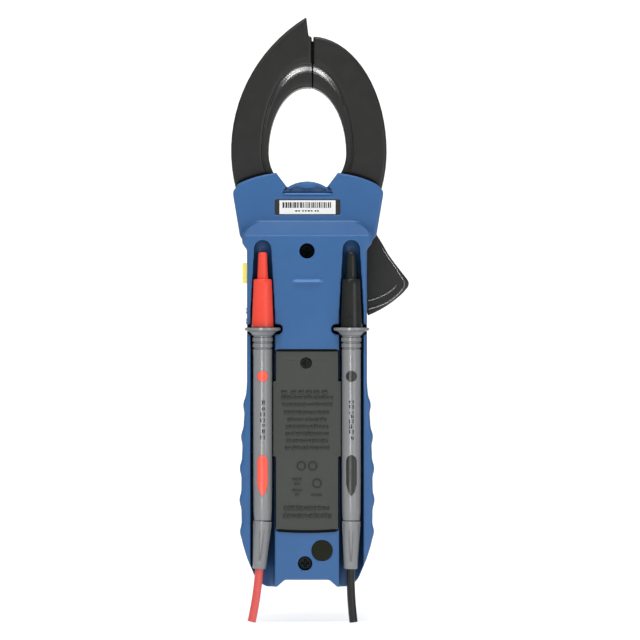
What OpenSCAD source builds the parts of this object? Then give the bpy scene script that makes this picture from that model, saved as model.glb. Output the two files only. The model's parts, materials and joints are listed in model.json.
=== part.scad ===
// Clamp meter with a hinged jaw, a rotary range switch and two test probes clipped into its back.
// Upright frame: +Z runs from the feet to the jaw tips, the back of the case faces -Y and its front +Y.
// The origin lies between the two feet, on the plane they stand on.

/* [Case] */
// Depth from the parting plane to the back of the body
body_back = 22; // [21:0.5:24]
// Depth from the parting plane to the front of the body
body_front = 20; // [19:0.5:22]
// Depth from the parting plane to the back of the head
head_back = 14; // [13.5:0.5:15]
// Depth from the parting plane to the front of the head
head_front = 13; // [12.5:0.5:14]
// Wall thickness of the case
wall = 2; // [1.8:0.1:2.2]
// Depth of the finger waves along the lower sides
grip_wave = 0.8; // [0.2:0.1:1]

/* [Jaws] */
// Half of the jaws' thickness
jaw_half = 9.8; // [9:0.1:9.8]
// Half width of the conductor window
window_a = 16.4; // [15:0.1:16.8]
// Height of the conductor window above its widest line
window_b = 27.7; // [25:0.1:28]
// Gap where the two jaws meet
jaw_gap = 0.6; // [0.4:0.1:0.8]
// Radius of the jaw's pivot pin
pivot_r = 2.5; // [2:0.1:2.6]

/* [Probes] */
// Radius of the probe handles
handle_r = 4; // [3.6:0.1:4]
// Radius of the finger guards
guard_r = 7.5; // [6.8:0.1:7.6]
// Radius of the test leads
lead_r = 1.75; // [1.5:0.05:1.9]

/* [Controls] */
// Radius of the range knob
knob_r = 17; // [14:0.5:18]
// Height of the conductor window's widest line above the feet
window_z = 182.5; // [182:0.1:183]

/* [Hidden] */
$fn = 48;
eps = 0.05;
pivot = [8.6, 156.5];
pivot_fit = 0.05;
split_x = 2.3;
window_x = 0.1;
window_low = 17;
probe_x = 18.6;
probe_y = -body_back + 0.5;
knob_z = 106;
key_z = 76;
key_xs = [-13.5, -4.5, 4.5, 13.5];
screw_top = [0, 140.9];
screw_low = [-0.8, 9.9];
cover_screw = [-0.4, 93.9];
jack_xs = [-9.5, 9.5];
jack_y = 8;
jack_r = 2.05;
board_y = 7.2;
board_t = 1.6;

// ---------- Outlines, as points in the X-Z plane, anticlockwise seen from the back ----------

function arc_pts(c, a, b, from, to, n) = [
    for (i = [0 : n])
        let (t = from + (to - from) * i / n)
        [c[0] + a * cos(t), c[1] + b * sin(t)]
];

function unit(v) = v / norm(v);

// Moves every side of a closed outline inwards by d
function inset(pts, d) = [
    for (i = [0 : len(pts) - 1])
        let (
            n = len(pts),
            u = unit(pts[i] - pts[(i + n - 1) % n]),
            v = unit(pts[(i + 1) % n] - pts[i]),
            m = [-u[1] - v[1], u[0] + v[0]]
        )
        pts[i] + m * (2 * d / (m * m))
];

function flip_x(pts) = [for (i = [len(pts) - 1 : -1 : 0]) [-pts[i][0], pts[i][1]]];

// Half width of the lower body: it swells towards the hand and carries five finger waves
function grip_x(z) =
    25.2 + 2.4 * max(0, 1 - pow((z - 38) / 47, 2))
    + (z < 82 ? grip_wave * max(0, cos(360 * (z - 76.6) / 13.4)) : 0);

// Right side of the body from its foot up to the shoulder under the head
body_right = concat(
    [[9.3, 2.9], [12.6, 0], [17, 0]],
    arc_pts([15.4, 7.2], 7.2, 7.2, -68, -22, 4),
    [[23.5, 8], [25, 11.6], [26.1, 15], [27, 18]],
    [for (z = [20.4 : 1.34 : 84]) [grip_x(z), z]],
    [[25.2, 86], [25.2, 141.4], [26.4, 142.9]],
    arc_pts([17.4, 145.2], 9.9, 8.4, -6, 90, 7)
);
body_outline = concat(body_right, flip_x(body_right));

dome_c = [0.3, 155.9];
dome_r = 14.4;

// One side of the head, which is thinner than the body, up to the dome between the jaws. The side
// over the moving jaw swells out further.
function head_side(swell) = concat(
    [[24, 138], [25.4, 142.7], [28.3 + swell, 147.4], [31 + swell, 163.6]],
    [[31.2 + swell, 165.4], [30.9 + swell, 166.6], [30 + swell, 167.6]],
    arc_pts([9.4, 125.5], 46, 48.5, 64.5, 83.5, 5),
    [[13.1, 174.1], [8.5, 168]],
    arc_pts(dome_c, dome_r, dome_r, 57, 88, 4)
);
head_outline = concat(head_side(0.9), flip_x(head_side(0)));

// The wall between the jaws that closes the bottom of the conductor window
dome_wall = concat(arc_pts(dome_c, 14.3, 14.3, 66, 114, 6), arc_pts(dome_c, 12.7, 12.7, 114, 66, 6));

cavity_right = [[15, 5], [20.4, 9], [24, 20], [24.6, 50], [22.9, 84], [22.9, 145]];
cavity_outline = concat(cavity_right, flip_x(cavity_right));

head_cavity_right = [[22.9, 136], [22.9, 143], [26.2, 148.5], [28.8, 164.5], [28.8, 176]];
head_cavity_outline = concat(head_cavity_right, flip_x(head_cavity_right));

function window_at(x, b) = window_z + b * sqrt(1 - pow((x - window_x) / window_a, 2));

// Edge of the conductor window from one angle to another, rounder below its widest line
function window_arc(from, to, n, grow) = [
    for (i = [0 : n])
        let (t = from + (to - from) * i / n)
        [
            window_x + (window_a + grow) * cos(t),
            window_z + (sin(t) < 0 ? window_low + grow : window_b + grow * 3.4) * sin(t)
        ]
];

// The fixed jaw, whose tip is a hook that leads a cable into the jaws
fixed_edge = split_x - jaw_gap / 2;
fixed_jaw_outline = concat(
    [[fixed_edge, 150.5], [fixed_edge, window_at(fixed_edge, -window_low)]],
    window_arc(267, 180, 9, 0),
    window_arc(174, 90, 11, 0),
    [[fixed_edge, window_at(fixed_edge, window_b)], [fixed_edge, 231.5], [0.7, 231.6]],
    arc_pts([34.9, 183.3], 67, 66.3, 121.7, 194.5, 18),
    [[-28.3, 166.4], [-27, 158], [-24, 150.5]]
);

// The moving jaw and the lever and trigger that open it, all turning about the pivot
moving_edge = split_x + jaw_gap / 2;
moving_jaw_outline = concat(
    arc_pts(pivot, 5.5, 5.5, 180, 292, 7),
    arc_pts(pivot, 46, 46, -68, -46, 6),
    arc_pts([40.2, 127.3], 2.8, 2.8, -42, 42, 5),
    [[38.6, 133.9], [34.6, 139.2], [31.7, 144.3], [29.4, 148], [28, 152.5], [29.2, 160]],
    arc_pts([1.6, 183], 32, 44, -26, -4, 4),
    arc_pts([1.6, 183], 32, 48.6, 0, 84, 16),
    [[moving_edge, 231.5], [moving_edge, window_at(moving_edge, window_b)]],
    window_arc(78, 0, 10, 0),
    window_arc(-6, -80, 8, 0)
);

// ---------- Shared solids ----------

// A flat plate between two Y planes, from an outline in X-Z
module plate(y0, y1) {
    translate([0, y1, 0]) rotate([90, 0, 0]) linear_extrude(y1 - y0) children();
}

// A round bar along Y between two planes
module rod(p, y0, y1, r) {
    translate([p[0], y1, p[1]]) rotate([90, 0, 0]) cylinder(h = y1 - y0, r = r);
}

// A box from its two corners
module box(low, high) {
    translate(low) cube(high - low);
}

// Depths, in radii, at which the fine steps of a rounded edge begin
round_depths = [0, 0.06, 0.16, 0.3, 0.5, 0.75, 1];
overlap = 0.02;

// How far a quarter round of radius 1 is set in at a depth
function round_inset(depth) = 1 - sqrt(1 - pow(1 - depth, 2));

// A plate whose edge is rounded with radius r at its back (side -1) or its front (side 1)
module soft_plate(outline, y0, y1, r, side) {
    n = len(round_depths);
    for (i = [0 : n - 1]) {
        last = i == n - 1;
        from = round_depths[i] * r;
        to = last ? y1 - y0 : round_depths[i + 1] * r + overlap;
        set_in = last ? 0 : r * round_inset((round_depths[i] + round_depths[i + 1]) / 2);
        if (side < 0) plate(y0 + from, y0 + to) polygon(inset(outline, set_in));
        else plate(y1 - to, y1 - from) polygon(inset(outline, set_in));
    }
}

// Stadium-shaped pocket or key in X-Z
module stadium(w, h) {
    r = min(w, h) / 2;
    square([w - (w < h ? 0 : 2 * r), h - (h < w ? 0 : 2 * r)], center = true);
    translate([w < h ? 0 : w / 2 - r, h < w ? 0 : h / 2 - r]) circle(r);
    translate([w < h ? 0 : r - w / 2, h < w ? 0 : r - h / 2]) circle(r);
}

module cross_screw(p, head_y, head_r, head_t, shank_r, tip_y) {
    difference() {
        union() {
            rod(p, head_y, head_y + head_t, head_r);
            rod(p, head_y + head_t - 0.2, tip_y, shank_r);
        }
        for (a = [0, 90])
            translate([p[0], head_y, p[1]])
            rotate([0, a, 0])
            translate([-head_r * 0.6, -1, -0.4])
            cube([head_r * 1.2, 2.1, 0.8]);
    }
}

// ---------- Case ----------

slope_low = 147.2;
slope_high = 153.6;
channel_r = 5;
channel_end_r = 3.5;
guard_z = 108.2;

// The solid that a probe's clearance is cut from, along the probe's axis
module probe_channel(side, grow) {
    translate([side * probe_x, probe_y, 0]) {
        translate([0, 0, -5]) cylinder(h = 121, r = channel_r + grow);
        translate([0, 0, 115.9]) cylinder(h = 26, r1 = channel_r + grow, r2 = channel_end_r + grow);
        translate([0, 0, 141.9]) sphere(r = channel_end_r + grow);
    }
}

module guard_slot(side) {
    r = guard_r + 0.8;
    translate([side * probe_x, probe_y, guard_z])
        rotate_extrude() polygon([
            [0, -2.1], [r - 1.5, -2.1], [r - 0.5, -1.7], [r, -0.8], [r, 0.6], [r - 0.5, 1.5],
            [r - 1.5, 1.9], [0, 1.9]
        ]);
}

// The room that the jaw lever sweeps through the right wall, from y0 to y1
module lever_slot(y0, y1) {
    plate(y0, y1) polygon(concat(
        arc_pts(pivot, 46.7, 46.7, -70, -40, 6),
        [[48, 150], [21, 150], [21, 112.4]]
    ));
}

module battery_recess_shape(grow) {
    translate([-13.2 - grow, 24.6 - grow]) square([26.4 + 2 * grow, 74.3 + 2 * grow]);
    translate([-14.3 - grow, 54.8 - grow]) square([28.6 + 2 * grow, 31.5 + 2 * grow]);
}

module rear_cover() {
    color([0.27, 0.43, 0.65])
    difference() {
        union() {
            difference() {
                union() {
                    difference() {
                        soft_plate(body_outline, -body_back, -eps, 1.8, -1);
                        // The band that slopes from the thick body up to the thinner head
                        translate([0, -body_back, slope_low])
                            rotate([atan2(slope_high - slope_low, body_back - head_back), 0, 0])
                            translate([-40, -20, 0]) cube([80, 60, 30]);
                    }
                    soft_plate(head_outline, -head_back, -eps, 1, -1);
                }
                difference() {
                    union() {
                        plate(-body_back + wall, 1) polygon(cavity_outline);
                        plate(-head_back + wall, 1) polygon(head_cavity_outline);
                    }
                    probe_channel(-1, 1.4);
                    probe_channel(1, 1.4);
                    for (side = [-1, 1])
                        translate([side * probe_x, probe_y, guard_z - 3.5])
                            cylinder(h = 6.8, r = guard_r + 2.2);
                }
            }
            // Bosses for the two case screws and the battery cover's screw
            rod(screw_top, -body_back + 1, -4, 5.1);
            rod(screw_low, -body_back + 1, -4, 4.9);
            rod(cover_screw, -body_back + 2.5, -12, 3.4);
            // Shelf under the cover's skirt, and the walls of the battery tub
            box([-14.8, -body_back + 4.2, 23.2], [14.8, -body_back + 5.8, 100.2]);
            difference() {
                box([-14.8, -body_back + 4.2, 29.2], [14.8, 3.8, 89.2]);
                box([-13.4, -body_back, 30.5], [13.4, 2.4, 87.9]);
            }
            // A raised bar where a thumb finds the middle of the back
            box([-6.4, -body_back - 0.4, 127.7], [6.2, -body_back + 0.5, 128.9]);
            // The wall that closes the bottom of the conductor window
            plate(-head_back + 1, -eps) polygon(dome_wall);
            // Two small ribs on the left edge
            for (z = [112, 116.5]) rod([-25.1, z], -9, -3, 0.7);
        }
        probe_channel(-1, 0);
        probe_channel(1, 0);
        guard_slot(-1);
        guard_slot(1);
        // Recess and opening of the battery compartment
        plate(-body_back - 1, -body_back + 4.3) battery_recess_shape(0.2);
        box([-13.4, -body_back - 1, 30.5], [13.4, 2.4, 87.9]);
        // Screw holes
        rod(screw_top, -body_back - 1, -9, 3.15);
        rod(screw_top, -10, 1, 1.6);
        rod(screw_low, -body_back - 1, -15, 2.95);
        rod(screw_low, -16, 1, 1.6);
        rod(cover_screw, -body_back - 1, -11, 1.25);
        // Label recess and the shallow pocket below the dome
        box([-13.7, -head_back - 1, 156], [14.1, -head_back + 0.6, 162.8]);
        plate(-head_back - 1, -head_back + 1.1)
            polygon([[-10.5, 164.9], [10.9, 164.9], [8.9, 168.6], [12, 176], [-12, 176], [-8.5, 168.6]]);
        // Recess of the round seal
        rod([6.3, 15.3], -body_back - 1, -body_back + 0.7, 4.5);
        // Room for the moving jaw: the top of the head, its right side and the trigger's slot
        box([-32, -jaw_half - 0.3, 166.2], [-7, 1, 180]);
        box([7.2, -jaw_half - 0.3, 163], [36, 1, 180]);
        box([20, -jaw_half - 0.3, 148.4], [36, 1, 164]);
        lever_slot(-6.5, 1);
        // Blind hole of the pivot pin
        rod(pivot, -head_back + 0.8, 1, pivot_r + 0.02);
        // Half of the side button's hole
        box([-30, -4.2, 127.3], [-22, 1, 136.1]);
    }
}

module front_cover() {
    color([0.27, 0.43, 0.65])
    difference() {
        union() {
            difference() {
                union() {
                    difference() {
                        soft_plate(body_outline, eps, body_front, 2.2, 1);
                        translate([0, body_front, slope_low])
                            rotate([-atan2(slope_high - slope_low, body_front - head_front), 0, 0])
                            translate([-40, -40, 0]) cube([80, 60, 30]);
                    }
                    soft_plate(head_outline, eps, head_front, 1, 1);
                }
                plate(-1, body_front - wall) polygon(cavity_outline);
                plate(-1, head_front - wall) polygon(head_cavity_outline);
            }
            rod(screw_top, -3.9, body_front - 1, 3.4);
            rod(screw_low, -3.9, body_front - 1, 3.4);
            rod([0, knob_z], body_front - 5, body_front - 1, 6.4);
            plate(eps, head_front - 1) polygon(dome_wall);
            rod(pivot, jaw_half + 0.3, head_front - 1, 5);
        }
        rod(screw_top, -5, 8, 1.5);
        rod(screw_low, -5, 8, 1.5);
        // Recess of the front panel, with the display's and the keys' openings
        plate(body_front - 0.8, body_front + 1) panel_shape(0.15);
        box([-16.6, body_front - wall - 1, 25.4], [16.6, body_front + 1, 56.6]);
        for (x = key_xs)
            translate([x, 0, key_z]) plate(body_front - wall - 1, body_front + 1) stadium(6.8, 4.8);
        rod([0, knob_z], body_front - 6, body_front + 1, 4.06);
        // Mouths of the two input jacks
        for (x = jack_xs)
            translate([x, jack_y, -1]) cylinder(h = 8, r = 4.6);
        box([-32, -1, 166.2], [-7, jaw_half + 0.3, 180]);
        box([7.2, -1, 163], [36, jaw_half + 0.3, 180]);
        box([20, -1, 148.4], [36, jaw_half + 0.3, 164]);
        lever_slot(-1, 6);
        rod(pivot, 1, head_front - 0.8, pivot_r + 0.02);
        box([-30, -1, 127.3], [-22, 4.2, 136.1]);
    }
}

module panel_shape(grow) {
    translate([-20 - grow, 20 - grow]) square([40 + 2 * grow, 112 + 2 * grow]);
}

module front_panel() {
    color([0.2, 0.21, 0.22])
    difference() {
        plate(body_front - 0.7, body_front + 0.2) panel_shape(0);
        box([-17.3, body_front - 2, 24.7], [17.3, body_front + 2, 57.3]);
        for (x = key_xs)
            translate([x, 0, key_z]) plate(body_front - 2, body_front + 2) stadium(6.8, 4.8);
        rod([0, knob_z], body_front - 2, body_front + 2, knob_r + 0.6);
    }
}

module display_window() {
    color([0.75, 0.8, 0.82, 0.5])
    union() {
        box([-17.1, body_front - 0.7, 24.9], [17.1, body_front + 0.1, 57.1]);
        box([-16.4, body_front - wall, 25.6], [16.4, body_front - 0.5, 56.4]);
    }
}

module lcd_panel() {
    color([0.62, 0.68, 0.6])
    union() {
        box([-17, 13.6, 24], [17, 16.2, 58]);
        box([-16, 11.2, 25], [16, 13.7, 27]);
    }
}

module main_board() {
    color([0.1, 0.4, 0.22])
    difference() {
        union() {
            plate(board_y, board_y + board_t)
                polygon([[-21.5, 28], [21.5, 28], [21.5, 104], [4.5, 112], [4.5, 134], [-21.5, 134]]);
            // Measuring chip, switch contacts and the reed that the keys press
            box([-16, board_y - 1.2, 92], [-6, board_y + 0.1, 102]);
            box([4, board_y - 1.6, 96], [10, board_y + 0.1, 100]);
            for (r = [8, 11.5])
                difference() {
                    rod([0, knob_z], board_y + board_t - 0.1, board_y + board_t + 0.25, r);
                    rod([0, knob_z], board_y + board_t - 1, board_y + board_t + 1, r - 1.6);
                }
        }
        rod([0, knob_z], board_y - 2, board_y + board_t + 2, 2.4);
    }
}

module keypad_mat() {
    color([0.3, 0.31, 0.32])
    union() {
        box([-18, board_y + board_t + 0.1, key_z - 4.5], [18, board_y + board_t + 1.1, key_z + 4.5]);
        for (x = key_xs) rod([x, key_z], board_y + board_t + 1, board_y + board_t + 2.4, 2.2);
    }
}

module jack_block() {
    color([0.12, 0.12, 0.13])
    difference() {
        union() {
            box([-14.4, 3.4, 5.4], [14.4, 12.6, 24]);
            for (x = jack_xs) translate([x, jack_y, 3.1]) cylinder(h = 3, r = 4.5);
        }
        for (x = jack_xs) translate([x, jack_y, 0]) cylinder(h = 30, r = 3.05);
        rod(screw_low, 0, 20, 3.8);
    }
}

module jack_sleeve(x) {
    color([0.82, 0.68, 0.35])
    translate([x, jack_y, 0])
    difference() {
        union() {
            translate([0, 0, 4.2]) cylinder(h = 21.8, r = 3);
            translate([-0.5, -2.2, 25.9]) cube([1, 4.4, 1.9]);
        }
        translate([0, 0, 3]) cylinder(h = 19.2, r = jack_r);
    }
}

module buzzer() {
    color([0.1, 0.1, 0.11])
    difference() {
        rod([-13, 120], board_y + board_t + 0.1, board_y + board_t + 5, 6.2);
        rod([-13, 120], board_y + board_t + 3, board_y + board_t + 6, 1.2);
    }
}

module side_switch() {
    color([0.75, 0.75, 0.73])
    union() {
        box([-19.6, 1.2, 128.4], [-14.4, board_y - 0.1, 135]);
        translate([-19.5, 3.4, 131.7]) rotate([0, -90, 0]) cylinder(h = 1, r = 1.2);
    }
}

module case_screws() {
    color([0.55, 0.56, 0.58])
    union() {
        cross_screw(screw_top, -11.3, 2.8, 2.2, 1.4, 7);
        cross_screw(screw_low, -17.3, 2.7, 2.2, 1.4, 7);
    }
}

module label_backing() {
    color([0.16, 0.16, 0.17])
    box([-13.6, -head_back + 0.25, 156.1], [14, -head_back + 0.55, 162.7]);
}

module serial_label() {
    color([0.95, 0.95, 0.95])
    box([-11.6, -head_back, 156.5], [12, -head_back + 0.22, 162.3]);
}

module seal_disc() {
    color([0.22, 0.21, 0.12])
    rod([6.3, 15.3], -body_back + 0.1, -body_back + 0.65, 4.4);
}

module pivot_pin() {
    color([0.7, 0.71, 0.73])
    rod(pivot, -head_back + 0.9, head_front - 0.9, pivot_r);
}

// ---------- Jaws ----------

// Outline of the laminated core: a band that follows the window and stays clear of the jaw's edge
function core_arc(a, up, down, from, to, n) = [
    for (i = [0 : n])
        let (t = from + (to - from) * i / n)
        [0.3 + a * cos(t), 183.5 + (sin(t) < 0 ? down : up) * sin(t)]
];

fixed_core = concat(core_arc(26.5, 38, 23.6, 88, 268, 24), core_arc(20.6, 31.5, 19.2, 268, 88, 24));
moving_core = concat(core_arc(26.5, 38, 23.6, -82, 85, 24), core_arc(20.6, 31.5, 19.2, 85, -82, 24));
core_half = 5;

// The lowered rim around the window, with a hollow fillet in steps where it meets the jaw's face
rim_steps = [[1.6, 0], [1.15, 0.15], [0.75, 0.4], [0.4, 0.8], [0.15, 1.3]];

module window_rim(side) {
    for (step = rim_steps)
        plate(side < 0 ? -jaw_half - 1 : jaw_half - step[0], side < 0 ? step[0] - jaw_half : jaw_half + 1)
            polygon(window_arc(0, 352.5, 47, 2.3 + step[1]));
}

// One half of a jaw's housing, on the back (side -1) or the front (side 1), hollowed for the core
module jaw_shell(outline, core, side) {
    difference() {
        soft_plate(outline, side < 0 ? -jaw_half : 0.03, side < 0 ? -0.03 : jaw_half, 1.4, side);
        window_rim(side);
        plate(-core_half - 0.2, core_half + 0.2) polygon(inset(core, -0.25));
    }
}

// A winding around one leg of the core, near the head: side -1 is the fixed leg, 1 the moving one
module coil_block(side, grow) {
    translate([side * 23.2 + 0.3, 0, 183.5])
        cube([9.6 + 2 * grow, 13.6 + 2 * grow, 15 + 2 * grow], center = true);
}

module coil(side, core) {
    difference() {
        intersection() {
            coil_block(side, 0);
            plate(-8, 8) polygon(concat(
                core_arc(28.2, 60, 60, side > 0 ? -40 : 140, side > 0 ? 40 : 220, 12),
                core_arc(18.9, 40, 40, side > 0 ? 40 : 220, side > 0 ? -40 : 140, 12)
            ));
        }
        plate(-core_half - 0.1, core_half + 0.1) polygon(inset(core, -0.12));
    }
}

module fixed_jaw_rear_shell() {
    color([0.2, 0.2, 0.195])
    difference() {
        jaw_shell(fixed_jaw_outline, fixed_core, -1);
        coil_block(-1, 0.2);
    }
}

module fixed_jaw_front_shell() {
    color([0.2, 0.2, 0.195])
    difference() {
        jaw_shell(fixed_jaw_outline, fixed_core, 1);
        coil_block(-1, 0.2);
    }
}

module fixed_jaw_core() {
    color([0.5, 0.5, 0.52])
    plate(-core_half, core_half) polygon(fixed_core);
}

module fixed_jaw_coil() {
    color([0.72, 0.42, 0.2])
    coil(-1, fixed_core);
}

// The trigger is thinner than the jaw, so the lever is cut down on both faces, from the shoulder that
// turns in through the case's side
module lever_relief(y0, y1) {
    box([-20, y0, 90], [60, y1, 148.2]);
    box([20.8, y0, 148], [60, y1, 157.8]);
}

lever_screw = [21, 135];

module moving_jaw_rear_shell() {
    color([0.2, 0.2, 0.195])
    difference() {
        jaw_shell(moving_jaw_outline, moving_core, -1);
        coil_block(1, 0.2);
        lever_relief(-jaw_half - 1, -6);
        rod(pivot, -jaw_half - 1, 1, pivot_r + pivot_fit);
        rod(lever_screw, -7, 1, 1.15);
    }
}

module moving_jaw_front_shell() {
    color([0.2, 0.2, 0.195])
    difference() {
        jaw_shell(moving_jaw_outline, moving_core, 1);
        coil_block(1, 0.2);
        lever_relief(5.5, jaw_half + 1);
        rod(pivot, -1, jaw_half + 1, pivot_r + pivot_fit);
        rod(lever_screw, -1, 4.2, 1.15);
        rod(lever_screw, 3.6, 7, 2.2);
    }
}

module moving_jaw_core() {
    color([0.5, 0.5, 0.52])
    plate(-core_half, core_half) polygon(moving_core);
}

module moving_jaw_coil() {
    color([0.72, 0.42, 0.2])
    coil(1, moving_core);
}

module moving_jaw_screws() {
    color([0.5, 0.5, 0.52])
    difference() {
        union() {
            rod(lever_screw, -4.5, 3.5, 1.1);
            rod(lever_screw, 3.65, 5.2, 2.1);
        }
        box([lever_screw[0] - 1.4, 4.6, lever_screw[1] - 0.3],
            [lever_screw[0] + 1.4, 6, lever_screw[1] + 0.3]);
    }
}

// Two turns of wire around the pivot pin, with one leg along the lever
module jaw_spring() {
    color([0.62, 0.63, 0.65])
    union() {
        for (y = [-11.3, -10.5])
            translate([pivot[0], y, pivot[1]]) rotate([90, 0, 0])
                rotate_extrude($fn = 72) translate([3.6, 0]) circle(r = 0.42);
        translate([pivot[0] + 3.6, -10.5, pivot[1]]) cylinder(h = 6, r = 0.34);
    }
}

// ---------- Controls ----------

module range_knob() {
    color([0.15, 0.15, 0.16])
    difference() {
        union() {
            rod([0, knob_z], body_front + 0.3, body_front + 3.2, knob_r);
            rod([0, knob_z], body_front + 3, body_front + 4, knob_r - 1);
            plate(body_front + 3.5, body_front + 9) translate([0, knob_z]) stadium(10, 2 * knob_r - 3);
            rod([0, knob_z], board_y + board_t + 2.6, body_front + 1, 4);
        }
        for (i = [0 : 17])
            let (t = i * 20)
            let (rib_r = knob_r + 0.6)
            rod([rib_r * cos(t), knob_z + rib_r * sin(t)], body_front, body_front + 5, 1.5);
        box([-0.8, body_front + 8.4, knob_z + 3], [0.8, body_front + 10, knob_z + knob_r - 3]);
        rod([0, knob_z], board_y, board_y + board_t + 6, 1.5);
    }
}

module knob_marker() {
    color([0.93, 0.93, 0.92])
    box([-0.75, body_front + 8.42, knob_z + 3.05], [0.75, body_front + 9.1, knob_z + knob_r - 3.05]);
}

module switch_rotor() {
    color([0.86, 0.85, 0.8])
    difference() {
        rod([0, knob_z], board_y + board_t + 0.6, board_y + board_t + 2.5, 12.5);
        for (t = [45, 165, 285])
            rod([9 * cos(t), knob_z + 9 * sin(t)], board_y, board_y + 5, 1.6);
        rod([0, knob_z], board_y, board_y + 5, 1.5);
    }
}

module key(x) {
    color([0.55, 0.57, 0.6])
    translate([x, 0, key_z])
    union() {
        plate(body_front - wall - 0.2, body_front + 1.2) stadium(6.5, 4.5);
        plate(body_front - wall - 1.2, body_front - wall - 0.1) stadium(8, 6);
        plate(board_y + board_t + 3.5, body_front - wall - 1.1) circle(r = 1.5);
    }
}

module side_button() {
    color([0.92, 0.86, 0.3])
    union() {
        box([-27.3, -4, 127.5], [-22.7, 4, 135.9]);
        box([-22.8, -5.2, 126.3], [-21.9, 5.2, 137.1]);
    }
}

// ---------- Battery and its cover ----------

module battery_9v() {
    color([0.2, 0.22, 0.28])
    union() {
        box([-13.1, -15.2, 33], [13.1, 2, 79.5]);
        translate([-6.35, -6.6, 79.4]) cylinder(h = 2.9, r = 2.9);
        translate([6.35, -6.6, 79.4]) cylinder(h = 2.9, r = 3.7, $fn = 6);
    }
}

module battery_snap() {
    color([0.12, 0.12, 0.13])
    difference() {
        box([-13, -14, 79.8], [13, 1, 84.6]);
        translate([-6.35, -6.6, 79]) cylinder(h = 3.6, r = 3.1);
        translate([6.35, -6.6, 79]) cylinder(h = 3.6, r = 4);
    }
}

module battery_cover() {
    color([0.31, 0.32, 0.31])
    difference() {
        plate(-body_back - 0.2, -body_back + 4.2) battery_recess_shape(0);
        // Hollow back, so the cover is a shallow tray with a skirt
        box([-12.2, -body_back + 1.8, 25.8], [12.2, -body_back + 5, 87]);
        box([-13.3, -body_back + 1.8, 56], [13.3, -body_back + 5, 85]);
        // Countersunk hole of the cover's screw
        rod(cover_screw, -body_back - 1, -body_back + 1.6, 2.35);
        rod(cover_screw, -body_back - 1, -body_back + 5, 1.35);
        // Finger rest under the screw
        box([-9.5, -body_back - 1, 92.2], [9.5, -body_back - 0.05, 92.6]);
        box([-9.5, -body_back - 1, 95.2], [9.5, -body_back - 0.05, 95.6]);
    }
}

module battery_cover_screw() {
    color([0.12, 0.12, 0.12])
    cross_screw(cover_screw, -body_back + 0.1, 2.2, 1.4, 1.15, -body_back + 8);
}

module battery_pad() {
    color([0.25, 0.25, 0.26])
    box([-10, -20, 40], [10, -15.4, 72]);
}

// ---------- Test probes, upright in their channels ----------

// Places children on the axis of the left (-1) or right (1) probe
module on_probe(side) {
    translate([side * probe_x, probe_y, 0]) children();
}

module probe_profile(points) {
    rotate_extrude() polygon(concat([[0, points[0][1]]], points, [[0, points[len(points) - 1][1]]]));
}

dot_z = 88.4;
inlay_z = 46.8;
boot_z = 27.8;
core_r = 2.5;

// The inlay's outline: round at the top, straight down its sides and pointed at the bottom
module inlay_shape(grow) {
    top = inlay_z + 6;
    r = 2.15 + grow;
    polygon(concat(
        arc_pts([0, top], r, r + 0.4, 0, 180, 12),
        [[-r, inlay_z - 3.5], [-1.3 - grow, inlay_z - 6.8], [0, inlay_z - 8.6 - grow]],
        [[1.3 + grow, inlay_z - 6.8], [r, inlay_z - 3.5]]
    ));
}

module probe_handle(side) {
    color([0.51, 0.51, 0.51])
    on_probe(side)
    difference() {
        union() {
            probe_profile([
                [handle_r - 0.35, boot_z + 0.2], [handle_r - 0.1, 32], [handle_r, 44], [handle_r, 97],
                [handle_r + 0.1, 99.6], [handle_r - 0.3, 99.8], [handle_r - 0.3, 100.3],
                [handle_r + 0.2, 100.5],
                [handle_r + 0.2, 102.1], [handle_r - 0.2, 102.3], [handle_r - 0.2, 102.8],
                [handle_r + 0.3, 103], [handle_r + 0.3, 104.5], [handle_r - 0.1, 104.7],
                [handle_r - 0.1, 105.2], [handle_r + 0.6, 105.8], [handle_r + 1.5, 106.9],
                [handle_r + 2.6, 107.4], [guard_r, 107.6], [guard_r, 108.7], [handle_r - 1.2, 108.9],
                [handle_r - 1.4, 112.6]
            ]);
        }
        translate([0, 0, 26]) cylinder(h = 80, r = core_r + 0.05);
        translate([0, 0, 100]) cylinder(h = 20, r = 1.02);
        rod([0, dot_z], -handle_r - 1, -1.2, 2.3);
        plate(-handle_r - 1, -0.8) inlay_shape(0.05);
    }
}

module probe_core(side, tint) {
    color(tint)
    on_probe(side)
    difference() {
        union() {
            translate([0, 0, boot_z + 0.3]) cylinder(h = 77.8, r = core_r);
            intersection() {
                union() {
                    rod([0, dot_z], -handle_r - 0.9, -1.4, 2.25);
                    plate(-handle_r - 0.9, -1) inlay_shape(0);
                }
                translate([0, 0, 30]) cylinder(h = 70, r = handle_r + 0.15);
            }
        }
        translate([0, 0, 20]) cylinder(h = 100, r = 1.02);
    }
}

module probe_cap(side, tint) {
    color(tint)
    on_probe(side)
    difference() {
        probe_profile([
            [4.6, 109], [4.55, 111], [3.85, 128.6], [3.6, 129], [2.35, 129.2], [2.25, 130],
            [1.85, 139.6], [1.5, 140.3]
        ]);
        translate([0, 0, 108]) cylinder(h = 5, r = handle_r - 1.1);
        translate([0, 0, 108]) cylinder(h = 30.4, r = 1.08);
    }
}

module probe_tip(side) {
    color([0.8, 0.8, 0.82])
    on_probe(side)
    union() {
        translate([0, 0, 92]) cylinder(h = 42, r = 1);
        translate([0, 0, 134]) cylinder(h = 4, r1 = 1, r2 = 0.15);
    }
}

// The strain reliefs and leads lean a little, the left one more, as the soft ends do
function boot_lean(side) = side < 0 ? 4 : 0.8;

module leaning(side) {
    translate([side * probe_x, probe_y, boot_z]) rotate([0, boot_lean(side), 0]) children();
}

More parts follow.
